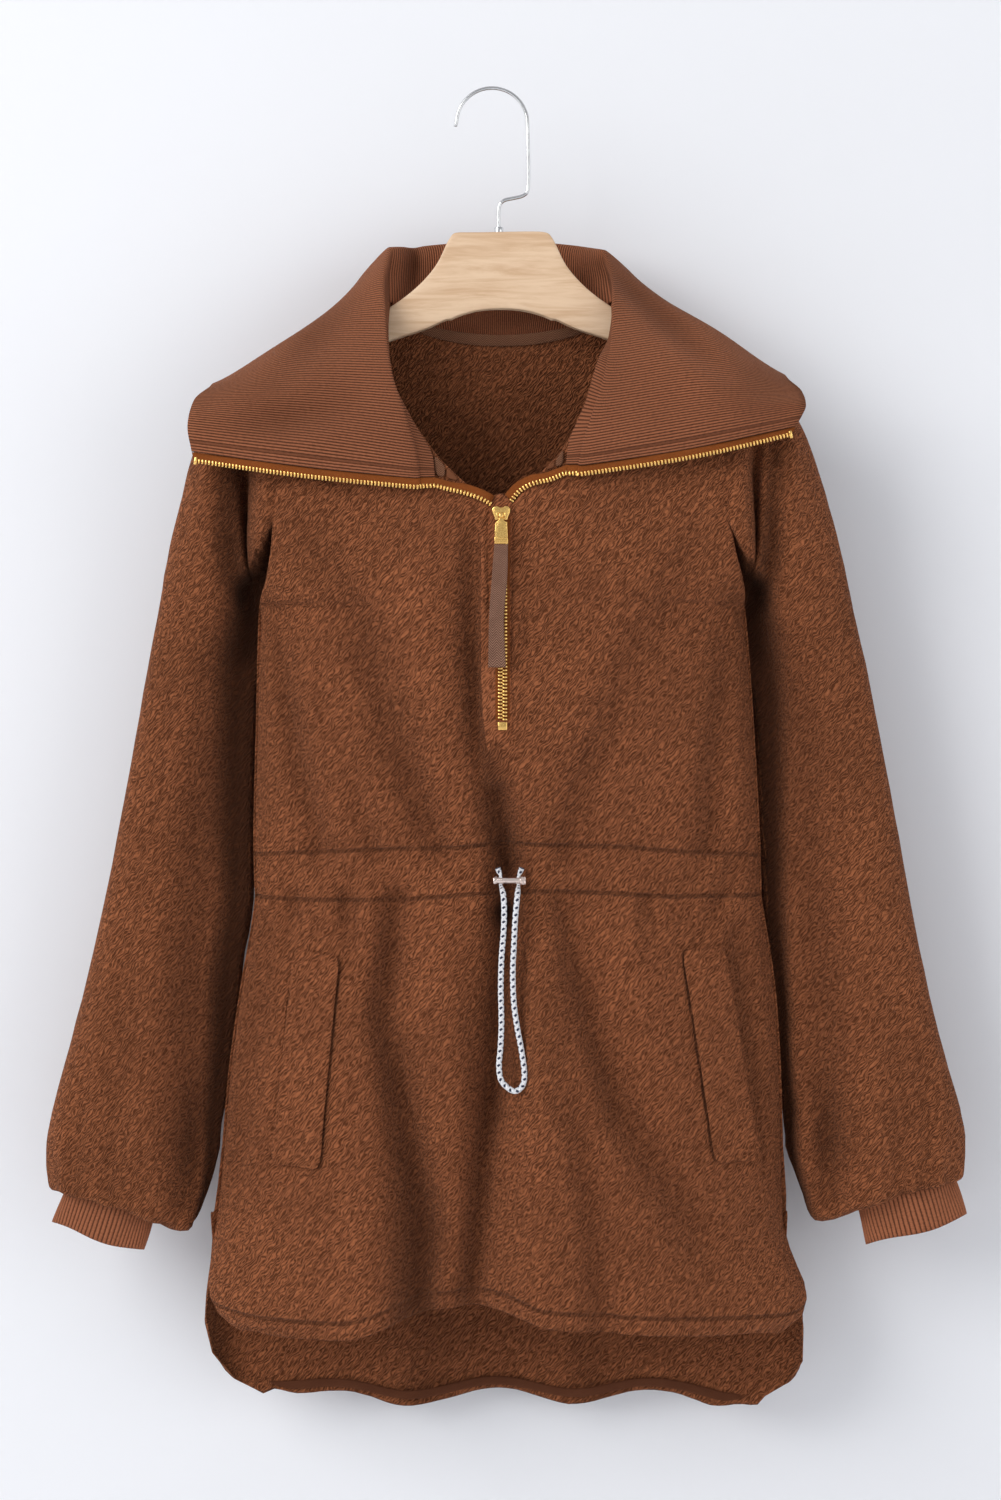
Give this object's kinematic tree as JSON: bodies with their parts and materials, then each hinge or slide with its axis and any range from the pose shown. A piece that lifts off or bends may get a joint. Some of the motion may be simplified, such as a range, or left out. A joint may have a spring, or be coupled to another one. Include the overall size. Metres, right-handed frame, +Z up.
{
  "type": "half-zip sweatshirt on a hanger",
  "caption": "Half-zip fleece sweatshirt with an opened rib collar, waist drawcord, pocket welts and rib cuffs, on a wooden hanger with a steel hook.",
  "frame": {"origin": "inner top of the hanger's hook, where it rests on a rail", "axes": "+Z up, the front of the garment faces -Y, the wearer's right is at -X"},
  "size_m": [0.6814, 0.135, 0.9827],
  "materials": {
    "fleece": "curly sherpa fleece",
    "rib_knit": "fine rib knit",
    "woven_tape": "herringbone tape",
    "zip_cloth": "woven zip tape",
    "facing_cloth": "smooth facing",
    "gold_metal": "polished gold",
    "rose_metal": "polished rose silver",
    "steel": "bright wire",
    "beech": "satin",
    "cord_braid": "braided"
  },
  "bodies": {
    "garment": {"front_panel": "fleece", "back_panel": "fleece", "sleeve_left": "fleece", "sleeve_right": "fleece", "pocket_welt_left": "fleece", "pocket_welt_right": "fleece", "collar": "rib_knit", "cuff_left": "rib_knit", "cuff_right": "rib_knit", "neck_tape": "woven_tape", "neck_tape_end_left": "woven_tape", "neck_tape_end_right": "woven_tape", "back_hem_tape": "woven_tape", "zip_arm_left": "zip_cloth", "zip_arm_right": "zip_cloth", "zip_tape": "zip_cloth", "front_facing_left": "facing_cloth", "front_facing_right": "facing_cloth", "zip_chain": "gold_metal", "zip_bottom_stop": "gold_metal", "zip_slider": "gold_metal", "cord_toggle": "rose_metal", "hanger_hook": "steel", "hook_ferrule": "steel", "hanger_wood": "beech", "drawcord": "cord_braid"},
    "zip_pull": {"zip_pull_tab": "gold_metal", "pull_ribbon": "woven_tape"}
  },
  "joints": [
    {"name": "zip_pull_swing", "type": "hinge", "parent": "garment", "child": "zip_pull", "pos_m": [0.0068, -0.05522, -0.3186], "axis": [1, 0, 0], "range_deg": [-150, 0]}
  ]
}
